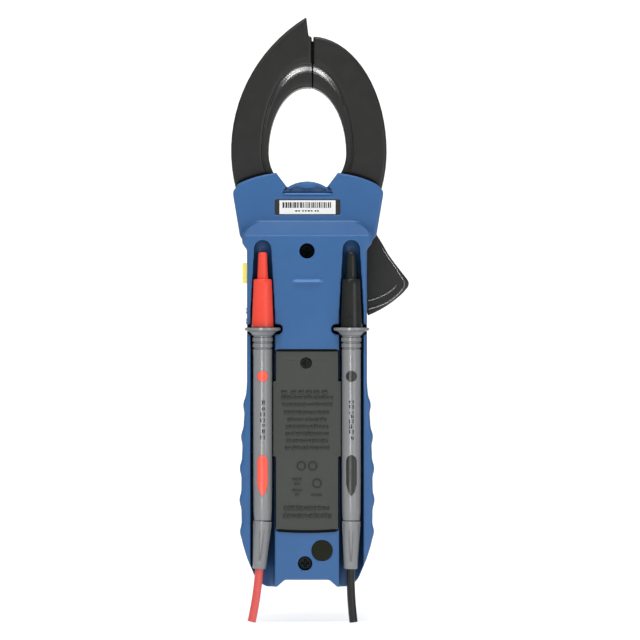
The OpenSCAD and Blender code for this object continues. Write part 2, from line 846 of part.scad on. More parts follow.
module probe_boot(side) {
    color([0.49, 0.49, 0.49])
    leaning(side)
    difference() {
        rotate_extrude() polygon([
            [0, -0.15], [handle_r - 0.1, -0.15], [handle_r - 0.1, -1.5], [handle_r - 0.5, -9],
            [2.85, -19.6], [2.55, -20.2], [0, -20.2]
        ]);
        translate([0, 0, -21]) cylinder(h = 19, r = lead_r + 0.05);
        // Long reliefs that let the boot flex
        for (dx = [-1, 1]) translate([dx * 5.4, -3, -17]) cylinder(h = 15.5, r = 2.6);
    }
}

// Beyond its boot each lead bends away on an arc: the left one to the left, the right one to the right
bend_r = [149, 160];
lead_drop = 22;
bend_steps = 6;

// Stations along a lead, in the boot's frame: [x, z, slope angle]
function lead_path(side) =
    let (r = bend_r[side < 0 ? 0 : 1], total = asin(lead_drop / r))
    concat(
        [[0, -2.5, 0]],
        [
            for (i = [0 : bend_steps])
                let (a = total * i / bend_steps)
                [side * r * (1 - cos(a)), -20.5 - r * sin(a), a]
        ]
    );

// Points round one station, n to a ring
function lead_ring(station, side, r, n) = [
    for (i = [0 : n - 1])
        let (t = 360 * i / n, along = r * cos(t))
        [station[0] + along * cos(station[2]), r * sin(t), station[1] + along * side * sin(station[2])]
];

// Sides of a tube between its stations, seen from outside, or from inside when flipped
function tube_sides(stations, n, first, flipped) = [
    for (k = [0 : stations - 2])
        for (i = [0 : n - 1])
            let (a = first + k * n + i, b = first + k * n + (i + 1) % n)
            each (flipped ? [[a, b + n, b], [a, a + n, b + n]] : [[a, b, b + n], [a, b + n, a + n]])
];

wire_r = 0.8;

module lead(side, tint) {
    n = 20;
    path = lead_path(side);
    k = len(path);
    hole = k * n;
    end = (k - 1) * n;
    outer = [for (p = path) each lead_ring(p, side, lead_r, n)];
    inner = [for (p = path) each lead_ring(p, side, wire_r + 0.04, n)];
    top = [
        for (i = [0 : n - 1])
            let (j = (i + 1) % n)
            each [[j, i, hole + i], [j, hole + i, hole + j]]
    ];
    bottom = [
        for (i = [0 : n - 1])
            let (a = end + i, b = end + (i + 1) % n)
            each [[a, b, hole + b], [a, hole + b, hole + a]]
    ];
    color(tint)
    leaning(side)
    polyhedron(
        points = concat(outer, inner),
        faces = concat(tube_sides(k, n, 0, false), tube_sides(k, n, hole, true), top, bottom)
    );
}

module lead_wire(side) {
    n = 16;
    path = lead_path(side);
    k = len(path);
    color([0.75, 0.45, 0.25])
    leaning(side)
    polyhedron(
        points = [for (p = path) each lead_ring(p, side, wire_r, n)],
        faces = concat(
            tube_sides(k, n, 0, false),
            [[for (i = [n - 1 : -1 : 0]) i], [for (i = [0 : n - 1]) (k - 1) * n + i]]
        )
    );
}

red = [1, 0.36, 0.3];
black = [0.17, 0.18, 0.18];

rear_cover();
front_cover();
front_panel();
display_window();
lcd_panel();
main_board();
keypad_mat();
jack_block();
jack_sleeve(jack_xs[0]);  // com_jack_sleeve
jack_sleeve(jack_xs[1]);  // volt_jack_sleeve
buzzer();
side_switch();
case_screws();
label_backing();
serial_label();
seal_disc();
pivot_pin();
fixed_jaw_rear_shell();
fixed_jaw_front_shell();
fixed_jaw_core();
fixed_jaw_coil();
battery_9v();
battery_snap();
moving_jaw_rear_shell();
moving_jaw_front_shell();
moving_jaw_core();
moving_jaw_coil();
moving_jaw_screws();
jaw_spring();
range_knob();
knob_marker();
switch_rotor();
key(key_xs[0]);  // hold_key
key(key_xs[1]);  // zero_key
key(key_xs[2]);  // range_key
key(key_xs[3]);  // mode_key
side_button();
battery_cover();
battery_cover_screw();
battery_pad();
probe_handle(-1);  // red_probe_handle
probe_core(-1, red);  // red_probe_core
probe_cap(-1, red);  // red_probe_cap
probe_tip(-1);  // red_probe_tip
probe_boot(-1);  // red_probe_boot
lead(-1, red);  // red_lead
lead_wire(-1);  // red_lead_wire
probe_handle(1);  // black_probe_handle
probe_core(1, black);  // black_probe_core
probe_cap(1, black);  // black_probe_cap
probe_tip(1);  // black_probe_tip
probe_boot(1);  // black_probe_boot
lead(1, black);  // black_lead
lead_wire(1);  // black_lead_wire
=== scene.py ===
# Clamp meter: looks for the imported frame, floor, light and camera.
import json
import math
import random

import bmesh
import bpy
from mathutils import Matrix, Vector


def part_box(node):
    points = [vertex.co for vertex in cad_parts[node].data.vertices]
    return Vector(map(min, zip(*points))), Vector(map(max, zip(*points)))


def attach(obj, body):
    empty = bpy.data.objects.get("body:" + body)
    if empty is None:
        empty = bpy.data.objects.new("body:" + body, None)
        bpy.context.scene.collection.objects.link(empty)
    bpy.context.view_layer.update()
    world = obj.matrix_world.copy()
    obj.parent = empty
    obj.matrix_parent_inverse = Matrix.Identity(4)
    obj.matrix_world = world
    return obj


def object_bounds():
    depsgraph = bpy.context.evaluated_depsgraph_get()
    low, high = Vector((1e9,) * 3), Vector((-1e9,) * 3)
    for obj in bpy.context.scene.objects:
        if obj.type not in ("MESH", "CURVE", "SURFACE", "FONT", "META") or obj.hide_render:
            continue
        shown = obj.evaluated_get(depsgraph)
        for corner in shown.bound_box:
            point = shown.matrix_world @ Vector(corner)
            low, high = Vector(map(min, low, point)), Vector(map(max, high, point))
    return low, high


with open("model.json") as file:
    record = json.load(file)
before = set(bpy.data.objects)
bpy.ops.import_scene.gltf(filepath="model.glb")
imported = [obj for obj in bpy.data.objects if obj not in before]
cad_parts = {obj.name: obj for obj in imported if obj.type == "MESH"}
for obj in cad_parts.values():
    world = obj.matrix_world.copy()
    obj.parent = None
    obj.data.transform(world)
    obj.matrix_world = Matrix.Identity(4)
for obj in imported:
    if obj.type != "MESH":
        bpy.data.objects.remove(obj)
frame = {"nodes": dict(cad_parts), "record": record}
NODES = frame["nodes"]
CAD_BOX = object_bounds()
MM = 0.001
random.seed(11)


# ---------------------------------------------------------------- shader helpers

class Graph:
    """A material's node tree, with short calls for the nodes used here."""

    def __init__(self, name, round_mm=0.2):
        self.mat = bpy.data.materials.new(name)
        self.mat.use_nodes = True
        self.tree = self.mat.node_tree
        self.tree.nodes.clear()
        out = self.tree.nodes.new("ShaderNodeOutputMaterial")
        self.bsdf = self.tree.nodes.new("ShaderNodeBsdfPrincipled")
        self.link(self.bsdf.outputs["BSDF"], out.inputs["Surface"])
        self.coord = self.tree.nodes.new("ShaderNodeTexCoord").outputs["Object"]
        bevel = self.tree.nodes.new("ShaderNodeBevel")
        bevel.samples = 4
        bevel.inputs["Radius"].default_value = round_mm * MM
        self.rounded = bevel.outputs["Normal"]

    def link(self, a, b):
        self.tree.links.new(a, b)

    def put(self, socket, value):
        if isinstance(value, bpy.types.NodeSocket):
            self.link(value, socket)
        else:
            socket.default_value = value

    def set(self, name, value):
        self.put(self.bsdf.inputs[name], value)

    def noise(self, scale, detail=2.0, rough=0.5, stretch=None):
        n = self.tree.nodes.new("ShaderNodeTexNoise")
        n.inputs["Scale"].default_value = scale
        n.inputs["Detail"].default_value = detail
        n.inputs["Roughness"].default_value = rough
        vec = self.coord
        if stretch:
            m = self.tree.nodes.new("ShaderNodeMapping")
            m.inputs["Scale"].default_value = stretch
            self.link(vec, m.inputs["Vector"])
            vec = m.outputs["Vector"]
        self.link(vec, n.inputs["Vector"])
        return n.outputs["Fac"]

    def voronoi(self, scale):
        n = self.tree.nodes.new("ShaderNodeTexVoronoi")
        n.inputs["Scale"].default_value = scale
        self.link(self.coord, n.inputs["Vector"])
        return n.outputs["Distance"]

    def remap(self, value, lo, hi, to_lo=0.0, to_hi=1.0):
        n = self.tree.nodes.new("ShaderNodeMapRange")
        self.put(n.inputs["Value"], value)
        n.inputs["From Min"].default_value = lo
        n.inputs["From Max"].default_value = hi
        n.inputs["To Min"].default_value = to_lo
        n.inputs["To Max"].default_value = to_hi
        return n.outputs["Result"]

    def math(self, op, a, b=0.0):
        n = self.tree.nodes.new("ShaderNodeMath")
        n.operation = op
        self.put(n.inputs[0], a)
        self.put(n.inputs[1], b)
        return n.outputs[0]

    def mix(self, fac, a, b):
        n = self.tree.nodes.new("ShaderNodeMix")
        n.data_type = "RGBA"
        self.put(n.inputs[0], fac)
        self.put(n.inputs[6], a)
        self.put(n.inputs[7], b)
        return n.outputs[2]

    def bump(self, height, strength, distance):
        n = self.tree.nodes.new("ShaderNodeBump")
        n.inputs["Strength"].default_value = strength
        n.inputs["Distance"].default_value = distance * MM
        self.put(n.inputs["Height"], height)
        self.link(self.rounded, n.inputs["Normal"])
        self.set("Normal", n.outputs["Normal"])

    def hollow(self, reach, samples=4):
        """1 in the open, falling to 0 deep in a seam or channel."""
        n = self.tree.nodes.new("ShaderNodeAmbientOcclusion")
        n.samples = samples
        n.inputs["Distance"].default_value = reach * MM
        return n.outputs["AO"]

    def across(self):
        """How far to the side of the frame's origin the surface lies."""
        n = self.tree.nodes.new("ShaderNodeSeparateXYZ")
        self.link(self.coord, n.inputs["Vector"])
        return n.outputs["X"]

    def facing(self):
        """0 where the surface faces the eye, 1 where it turns away."""
        n = self.tree.nodes.new("ShaderNodeLayerWeight")
        n.inputs["Blend"].default_value = 0.5
        return n.outputs["Facing"]

    def edge(self):
        """1 on sharp edges and 0 on open faces: how far the rounded normal leans away."""
        geo = self.tree.nodes.new("ShaderNodeNewGeometry")
        dot = self.tree.nodes.new("ShaderNodeVectorMath")
        dot.operation = "DOT_PRODUCT"
        self.link(self.rounded, dot.inputs[0])
        self.link(geo.outputs["Normal"], dot.inputs[1])
        return self.remap(dot.outputs["Value"], 0.99, 0.8)


def srgb(r, g, b):
    """Linear colour from 0-255 display values."""
    def lin(c):
        c /= 255.0
        return c / 12.92 if c <= 0.04045 else ((c + 0.055) / 1.055) ** 2.4
    return (lin(r), lin(g), lin(b), 1.0)


def shade(c, k):
    return (min(c[0] * k, 1.0), min(c[1] * k, 1.0), min(c[2] * k, 1.0), 1.0)


def moulded(name, colour, rough=0.45, grain=2600.0, depth=0.02, mottling=0.06, edge_wear_and_highlight=0.15,
            round_mm=0.2, specular=0.4, hollow_shade=0.75, reach=5.0, turned_away_shade=0.0, smear=0.06,
            polish=None):
    """Injection-moulded plastic: eroded grain, flow mottling, edges lightened for rubbing wear and as a
    painted highlight, painted shade in the hollows and where the surface turns away.
    """
    g = Graph(name, round_mm)
    broad = g.noise(45.0, 3.0, 0.55)
    fine = g.noise(grain, 2.0, 0.6)
    flow = g.noise(22.0, 2.0, 0.5, stretch=(1.0, 1.0, 0.3))
    base = g.mix(g.remap(broad, 0.3, 0.7), shade(colour, 1 - mottling), shade(colour, 1 + mottling))
    base = g.mix(g.remap(flow, 0.35, 0.65, 0.0, 0.4), base, shade(colour, 1 - mottling))
    base = g.mix(g.remap(fine, 0.3, 0.7, 0.0, 0.25), base, shade(colour, 0.86))
    edge = g.edge()
    # Lighter edges: partly rubbing wear, partly a painted highlight.
    base = g.mix(g.math("MULTIPLY", edge, edge_wear_and_highlight), base, shade(colour, 1.7))
    # Painted shade: darker where the surface turns away from the eye.
    if turned_away_shade:
        base = g.mix(g.remap(g.facing(), 0.45, 0.95, 0.0, turned_away_shade), base, shade(colour, 0.3))
    # Painted shade: darker deep in hollows, seams and channels.
    if hollow_shade:
        base = g.mix(g.remap(g.hollow(reach), 0.15, 0.8, hollow_shade, 0.0), base, shade(colour, 0.16))
    g.set("Base Color", base)
    handled = g.remap(g.noise(210.0, 3.0), 0.3, 0.7, rough - smear, rough + smear)
    g.set("Roughness", g.math("SUBTRACT", handled, g.math("MULTIPLY", edge, 0.08)))
    if polish is not None:
        far = g.math("ABSOLUTE", g.math("SUBTRACT", g.across(), polish * MM))
        specular = g.math("MULTIPLY", g.remap(far, 0.0, 5 * MM, 0.4 * specular, specular),
                          g.remap(far, 8 * MM, 16 * MM, 1.0, 0.0))
    g.set("Specular IOR Level", specular)
    g.bump(g.math("ADD", fine, g.math("MULTIPLY", g.voronoi(grain * 0.5), 0.5)), 0.35, depth)
    return g.mat


def metal(name, colour, rough=0.25, stretch=(1.0, 1.0, 8.0), dark=0.5, metallic=1.0):
    """Turned or stamped metal with tool marks and a little tarnish."""
    g = Graph(name, 0.1)
    marks = g.noise(900.0, 3.0, 0.65, stretch)
    stain = g.noise(180.0, 3.0, 0.6)
    base = g.mix(g.remap(stain, 0.4, 0.75, 0.0, dark), colour, shade(colour, 0.55))
    g.set("Base Color", g.mix(g.remap(marks, 0.3, 0.7, 0.0, 0.25), base, shade(colour, 1.15)))
    g.set("Metallic", metallic)
    g.set("Roughness", g.remap(marks, 0.25, 0.75, rough - 0.07, rough + 0.12))
    g.bump(marks, 0.4, 0.012)
    return g.mat


def glass(name, colour, rough=0.06, transmission=1.0):
    """Clear moulding with faint scuffs."""
    g = Graph(name, 0.15)
    scuff = g.noise(700.0, 3.0, 0.7, (1.0, 1.0, 0.2))
    g.set("Base Color", g.mix(g.remap(scuff, 0.5, 0.8, 0.0, 0.2), colour, shade(colour, 0.85)))
    g.set("Roughness", g.remap(scuff, 0.4, 0.8, rough, rough + 0.12))
    g.set("Transmission Weight", transmission)
    g.set("IOR", 1.49)
    g.bump(scuff, 0.1, 0.005)
    return g.mat


def circuit_board(name):
    """Green solder mask over darker copper tracks."""
    g = Graph(name, 0.1)
    tracks = g.remap(g.noise(420.0, 1.0, 0.4, (1.0, 0.05, 0.18)), 0.47, 0.53)
    base = g.mix(tracks, srgb(20, 84, 48), srgb(40, 122, 70))
    g.set("Base Color", g.mix(g.remap(g.noise(90.0), 0.3, 0.7, 0.0, 0.3), base, srgb(16, 66, 42)))
    g.set("Roughness", g.remap(g.noise(300.0), 0.3, 0.7, 0.28, 0.42))
    g.bump(tracks, 0.4, 0.03)
    return g.mat


def printed(name, colour, rough=0.38):
    """Film label: slight sheen, fibres and a handled look."""
    g = Graph(name, 0.05)
    fibre = g.noise(1500.0, 3.0, 0.6, (0.3, 1.0, 1.0))
    grime = g.noise(160.0, 4.0, 0.6)
    base = g.mix(g.remap(grime, 0.45, 0.8, 0.0, 0.35), colour, shade(colour, 0.8))
    g.set("Base Color", g.mix(g.remap(fibre, 0.4, 0.7, 0.0, 0.2), base, shade(colour, 0.9)))
    g.set("Roughness", g.remap(grime, 0.3, 0.7, rough - 0.05, rough + 0.1))
    g.bump(fibre, 0.2, 0.008)
    return g.mat


BLUE = srgb(56, 104, 159)
JAW = srgb(38, 39, 37)

MATERIALS = {
    # The case's blue, with strong painted shade in its channels and where it turns away from the eye.
    "case_blue": moulded("case_blue", BLUE, rough=0.42, edge_wear_and_highlight=0.22, round_mm=0.3, hollow_shade=0.92, reach=9.0,
                         turned_away_shade=0.9),
    # A lighter blue than the case: painted highlight on raised bars and lips.
    "case_painted_lit": moulded("case_painted_lit", srgb(74, 128, 192), rough=0.36, edge_wear_and_highlight=0.3, hollow_shade=0.2),
    # Near-black: painted shadow in the gaps between parts.
    "gap_shadow_black": moulded("gap_shadow_black", srgb(12, 12, 13), rough=0.8, edge_wear_and_highlight=0.05, specular=0.1),
    "case_shaded": moulded("case_shaded", srgb(38, 74, 118), rough=0.5, edge_wear_and_highlight=0.1, hollow_shade=0.35),
    "panel_grey": moulded("panel_grey", srgb(62, 66, 70), rough=0.4),
    "clear_window": glass("clear_window", srgb(236, 242, 244)),
    "lcd_glass": moulded("lcd_glass", srgb(168, 178, 158), rough=0.2, grain=5000.0, depth=0.004),
    "board_green": circuit_board("board_green"),
    "silicone": moulded("silicone", srgb(150, 150, 146), rough=0.6, grain=4000.0),
    "jack_black": moulded("jack_black", srgb(30, 30, 31), rough=0.4),
    "brass": metal("brass", srgb(196, 160, 84), rough=0.3),
    "switch_metal": metal("switch_metal", srgb(170, 172, 174), rough=0.3),
    "screw_steel": metal("screw_steel", srgb(18, 20, 23), rough=0.2, dark=0.7, metallic=0.8),
    "screw_black": metal("screw_black", srgb(14, 15, 15), rough=0.2, dark=0.4, metallic=0.8),
    "label_black": printed("label_black", srgb(40, 42, 44)),
    "label_white": printed("label_white", srgb(252, 252, 250)),
    "seal_olive": moulded("seal_olive", srgb(22, 26, 3), rough=0.45, grain=900.0, depth=0.03,
                          mottling=0.2, specular=0.2),
    "pin_steel": metal("pin_steel", srgb(160, 162, 166), rough=0.25),
    "jaw_black": moulded("jaw_black", JAW, rough=0.42, grain=2200.0, edge_wear_and_highlight=0.3, round_mm=0.3,
                         specular=0.42, hollow_shade=0.9, reach=7.0),
    "bead_polished": moulded("bead_polished", JAW, rough=0.22, grain=2200.0, depth=0.001, edge_wear_and_highlight=0.2,
                             specular=0.9, hollow_shade=0.6, smear=0.015),
    "jaw_polished": moulded("jaw_polished", JAW, rough=0.21, grain=2200.0, depth=0.001, edge_wear_and_highlight=0.2,
                            specular=0.95, hollow_shade=0.6, smear=0.015, polish=0.7),
    "core_steel": metal("core_steel", srgb(120, 124, 130), rough=0.35, stretch=(1.0, 30.0, 1.0)),
    "copper": metal("copper", srgb(184, 104, 58), rough=0.3, stretch=(1.0, 1.0, 30.0)),
    "battery_can": metal("battery_can", srgb(90, 96, 104), rough=0.3),
    "knob_black": moulded("knob_black", srgb(38, 39, 40), rough=0.42, edge_wear_and_highlight=0.3),
    "marker_white": moulded("marker_white", srgb(232, 232, 228), rough=0.4),
    "rotor_cream": moulded("rotor_cream", srgb(218, 210, 186), rough=0.4),
    "key_grey": moulded("key_grey", srgb(120, 124, 128), rough=0.5),
    "button_yellow": moulded("button_yellow", srgb(255, 238, 104), rough=0.42, mottling=0.04, hollow_shade=0.1),
    "cover_grey": moulded("cover_grey", srgb(66, 70, 66), rough=0.46, grain=1900.0, depth=0.03,
                          edge_wear_and_highlight=0.25, round_mm=0.2),
    # Edges lightened in full: a painted highlight on the raised marks.
    "cover_relief": moulded("cover_relief", srgb(46, 49, 46), rough=0.32, edge_wear_and_highlight=1.0, round_mm=0.15),
    "foam_black": moulded("foam_black", srgb(34, 34, 35), rough=0.9, grain=1400.0, depth=0.25),
    "probe_grey": moulded("probe_grey", srgb(119, 121, 123), rough=0.26, edge_wear_and_highlight=0.1,
                          round_mm=0.04, grain=3200.0, depth=0.001, specular=0.55, mottling=0.02,
                          reach=1.5, smear=0.012),
    "red_plastic": moulded("red_plastic", srgb(252, 80, 62), rough=0.34, mottling=0.04, reach=1.5),
    "black_plastic": moulded("black_plastic", srgb(31, 35, 32), rough=0.32, edge_wear_and_highlight=0.3, reach=1.5),
    "red_lead_pvc": moulded("red_lead_pvc", srgb(232, 96, 92), rough=0.32, mottling=0.04, reach=1.5),
    "black_lead_pvc": moulded("black_lead_pvc", srgb(24, 25, 26), rough=0.32, edge_wear_and_highlight=0.2, reach=1.5),
}


# ---------------------------------------------------------------- CAD nodes: surface and finish

def smooth_by_angle():
    """Node group: joins the mesh's seams, then shades it smooth except across sharp edges."""
    g = bpy.data.node_groups.new("smooth_by_angle", "GeometryNodeTree")
    g.interface.new_socket("Geometry", in_out="INPUT", socket_type="NodeSocketGeometry")
    g.interface.new_socket("Geometry", in_out="OUTPUT", socket_type="NodeSocketGeometry")
    start, end = g.nodes.new("NodeGroupInput"), g.nodes.new("NodeGroupOutput")
    plain = g.nodes.new("GeometryNodeRemoveAttribute")
    plain.inputs["Name"].default_value = "custom_normal"
    merge = g.nodes.new("GeometryNodeMergeByDistance")
    merge.inputs["Distance"].default_value = 0.002 * MM
    face = g.nodes.new("GeometryNodeSetShadeSmooth")
    edge = g.nodes.new("GeometryNodeSetShadeSmooth")
    face.domain, edge.domain = "FACE", "EDGE"
    edge.inputs["Shade Smooth"].default_value = False
    angle = g.nodes.new("GeometryNodeInputMeshEdgeAngle")
    sharp = g.nodes.new("FunctionNodeCompare")
    sharp.operation = "GREATER_THAN"
    sharp.inputs[1].default_value = math.radians(32)
    for a, b in ((start.outputs[0], plain.inputs["Geometry"]),
                 (plain.outputs["Geometry"], merge.inputs["Geometry"]),
                 (merge.outputs["Geometry"], face.inputs["Geometry"]),
                 (face.outputs["Geometry"], edge.inputs["Geometry"]),
                 (angle.outputs["Unsigned Angle"], sharp.inputs[0]),
                 (sharp.outputs["Result"], edge.inputs["Selection"]),
                 (edge.outputs["Geometry"], end.inputs[0])):
        g.links.new(a, b)
    return g


SMOOTH = smooth_by_angle()

# Voxel size in mm and smoothing passes for the nodes whose moulded edges are rounded in the round
ROUNDED = {
    "rear_cover": (0.36, 9), "front_cover": (0.36, 9),
    "fixed_jaw_rear_shell": (0.34, 9), "fixed_jaw_front_shell": (0.34, 9),
    "moving_jaw_rear_shell": (0.34, 9), "moving_jaw_front_shell": (0.34, 9),
    "battery_cover": (0.26, 4), "range_knob": (0.25, 4), "side_button": (0.2, 5),
    "hold_key": (0.2, 5), "zero_key": (0.2, 5), "range_key": (0.2, 5), "mode_key": (0.2, 5),
    "case_screws": (0.12, 3), "battery_cover_screw": (0.1, 3), "seal_disc": (0.12, 4),
}


SLOT_OF = {row["node"]: row["material_slot"] for row in frame["record"]["subparts"]}


def finish_nodes():
    """Every CAD node gets its slot's material and a rounded or angle-smoothed surface."""
    for name, obj in NODES.items():
        obj.data.materials.clear()
        obj.data.materials.append(MATERIALS[SLOT_OF[name]])
        if name in ROUNDED:
            voxel, passes = ROUNDED[name]
            m = obj.modifiers.new("moulding", "REMESH")
            m.mode = "VOXEL"
            m.voxel_size = voxel * MM
            m.use_smooth_shade = True
            s = obj.modifiers.new("draw", "SMOOTH")
            s.factor = 0.5
            s.iterations = passes
        else:
            m = obj.modifiers.new("smooth", "NODES")
            m.node_group = SMOOTH


# ---------------------------------------------------------------- pieces added to the looks

def add(name, bm, slot, body, finish=None):
    """Turns a bmesh (in metres, in place) into a piece that rides a body."""
    mesh = bpy.data.meshes.new(name)
    bmesh.ops.recalc_face_normals(bm, faces=bm.faces)
    bm.to_mesh(mesh)
    bm.free()
    mesh.shade_smooth()
    mesh.set_sharp_from_angle(angle=math.radians(40))
    mesh.materials.append(MATERIALS[finish or slot])
    obj = bpy.data.objects.new(name, mesh)
    bpy.context.scene.collection.objects.link(obj)
    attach(obj, body)
    return obj


def bar(bm, centre, size, soft=0.3, turn=0.0):
    """A soft-cornered block: centre and size in mm, turned about the Y axis by degrees."""
    place = (Matrix.Translation(Vector(centre) * MM) @ Matrix.Rotation(math.radians(turn), 4, "Y")
             @ Matrix.Diagonal((*(s * MM for s in size), 1.0)))
    verts = bmesh.ops.create_cube(bm, size=1.0, matrix=place)["verts"]
    edges = list({e for v in verts for e in v.link_edges})
    bmesh.ops.bevel(bm, geom=edges, offset=min(size) * soft * MM, segments=2, affect="EDGES",
                    profile=0.5, clamp_overlap=True)


def loft(bm, rings):
    """A closed skin over rings of points in mm, each a closed loop of the same number of points."""
    rows = [[bm.verts.new(Vector(p) * MM) for p in ring] for ring in rings]
    n = len(rows[0])
    for r, s in zip(rows, rows[1:]):
        for k in range(n):
            bm.faces.new((r[k], r[(k + 1) % n], s[(k + 1) % n], s[k]))
    bm.faces.new(rows[0])
    bm.faces.new(list(reversed(rows[-1])))


def bead(bm, path, radius, sides=12, flat=1.0):
    """A round bead swept along a path of (x, y, z) points in mm, tapering to nothing at both ends."""
    rings = []
    last = len(path) - 1
    out = Vector((0, 1, 0))
    for i, p in enumerate(path):
        along = (Vector(path[min(i + 1, last)]) - Vector(path[max(i - 1, 0)])).normalized()
        side = along.cross(out).normalized()
        r = radius * min(1.0, math.sqrt(min(i, last - i) / 3.0 + 0.02))
        angles = [2 * math.pi * k / sides for k in range(sides)]
        rings.append([Vector(p) + side * (r * math.cos(t)) + out * (r * flat * math.sin(t))
                      for t in angles])
    loft(bm, rings)


def box_mm(node):
    lo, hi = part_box(node)
    return Vector(lo) / MM, Vector(hi) / MM


def mount_mm(name):
    return Vector(next(m["pos_m"] for m in frame["record"]["mounts"] if m["name"] == name)) / MM


# Places and sizes, in mm, that several pieces share.
# The conductor window: an egg about its mount, with this half width and these heights up and down
WINDOW = mount_mm("conductor_window")
WINDOW_A, WINDOW_UP, WINDOW_DOWN = 16.4, 27.7, 17.0
# The jaws: half their thickness, and the edges that face each other across the gap
JAW_FACE = -box_mm("fixed_jaw_rear_shell")[0].y
FIXED_EDGE = box_mm("fixed_jaw_rear_shell")[1].x
MOVING_EDGE = box_mm("moving_jaw_rear_shell")[0].x
# The trigger's two faces in Y, and the radius of a probe's handle
LEVER_FACES = (-6.0, 5.5)
HANDLE_R = 4.0
# The flat of the case's back and of its head in Y, and the middle of the label on the head
BACK_Y = box_mm("rear_cover")[0].y + 0.4
HEAD_Y = box_mm("serial_label")[0].y
HEAD_MID = (box_mm("serial_label")[0] + box_mm("serial_label")[1]) / 2


def label_print():
    """Generic bars and dashes on the white label."""
    lo, hi = box_mm("serial_label")
    bm = bmesh.new()
    y = lo.y - 0.01
    top, bottom = hi.z - 0.8, hi.z - 3.2
    x = lo.x + 1.3
    while x < hi.x - 1.7:
        w = random.choice((0.3, 0.45, 0.6, 0.8))
        bar(bm, (x + w / 2, y, (top + bottom) / 2), (w, 0.05, top - bottom), 0.1)
        x += w + random.choice((0.22, 0.3, 0.42))
    x = lo.x + 6.6
    while x < hi.x - 6.8:
        w = random.choice((0.7, 1.0, 1.3))
        bar(bm, (x + w / 2, y, lo.z + 1.35), (w, 0.05, 0.6), 0.1)
        x += w + random.choice((0.35, 0.45, 0.9))
    add("label_bars", bm, "label_black", "case")


def cover_relief():
    """Rows of generic raised dashes and rings where the battery cover carries moulded notes.

    Heights are drops below the cover's top edge."""
    lo, hi = box_mm("battery_cover")
    bm = bmesh.new()
    y = lo.y - 0.02
    mid = (lo.x + hi.x) / 2
    depth, first, pitch = 0.7, 19.4, 2.95

    def row(drop, half, height):
        x = mid - half
        while x < mid + half:
            w = min(random.uniform(0.6, 1.5), mid + half - x + 0.2)
            h = height * random.uniform(0.7, 1.1)
            bar(bm, (x + w / 2, y, hi.z - drop + random.uniform(-0.12, 0.12)), (w, depth, h), 0.25)
            x += w + random.uniform(0.3, 0.55)

    def ring(x, drop, radius, start, sweep, count):
        for k in range(count):
            t = math.radians(start + sweep * k / (count - 1))
            bar(bm, (mid + x + radius * math.cos(t), y, hi.z - drop + radius * math.sin(t)),
                (0.6, depth, 0.6), 0.3)

    for x in (-9.5, -5.6, -2.4, 0.8, 4.0, 7.4):
        bar(bm, (mid + x, y, hi.z - 17.2), (2.3, depth, 1.7), 0.25)
    for k, half in enumerate((10.8, 10.4, 9.6, 8.2, 8.8, 9.0, 8.6, 9.2)):
        row(first + pitch * k + (0.4 if k > 1 else 0.0), half, 1.4)
    ring(-2.4, 48.1, 1.7, 0, 337, 13)
    ring(2.4, 48.1, 1.7, 0, 337, 13)
    for drop, width in ((53.6, 4.0), (55.6, 2.4), (58.2, 4.0), (60.0, 1.6)):
        bar(bm, (mid - 4.2, y, hi.z - drop), (width, depth, 0.7), 0.25)
    ring(4.2, 55.4, 1.8, 0, 337, 13)
    bar(bm, (mid + 4.0, y, hi.z - 60.2), (4.6, depth, 0.7), 0.25)
    for drop, half in ((65.8, 9.6), (69.0, 10)):
        row(drop, half, 1.9)
    add("cover_relief", bm, "cover_grey", "battery_door", "cover_relief")


def probe_marks(colour):
    """Short generic dashes printed down the back of a probe's handle."""
    lo, hi = box_mm(colour + "_probe_handle")
    cx, cy = (lo.x + hi.x) / 2, (lo.y + hi.y) / 2
    bm = bmesh.new()
    z = lo.z + 50.3
    while z > lo.z + 34.3:
        h = random.choice((0.9, 1.3, 1.7))
        for dx in random.sample((-0.7, 0.0, 0.7), 2):
            y = cy - math.sqrt(HANDLE_R ** 2 - dx * dx)
            bar(bm, (cx + dx, y, z - h / 2), (0.5, 0.14, h), 0.3)
        z -= h + random.choice((0.5, 0.8, 1.2))
    add(colour + "_probe_marks", bm, "knob_black", colour + "_probe", "panel_grey")


def trigger_beads():
    """Raised grip beads along the trigger's lower and outer edge, on both faces."""
    lo, hi = box_mm("moving_jaw_rear_shell")
    rim = [(-18.6, 2.6), (-16, 3.1), (-13, 4.0), (-10, 5.2), (-7, 7.1), (-4.4, 9.4), (-2.3, 12.1),
           (-2.2, 14.7), (-3.8, 17.5), (-6.4, 21.5), (-9.4, 25.8), (-12.4, 30.1)]
    ridge = [(-18.6, 6.3), (-16, 6.6), (-13, 7.6), (-10, 9.0), (-7, 11), (-5, 13.1)]
    bm = bmesh.new()
    for face in LEVER_FACES:
        bead(bm, spline([(hi.x + x, face, lo.z + z) for x, z in rim]), 0.6, flat=0.55)
        bead(bm, spline([(hi.x + x, face, lo.z + z) for x, z in ridge]), 0.5, flat=0.55)
    return add("trigger_beads", bm, "jaw_black", "moving_jaw", "bead_polished")


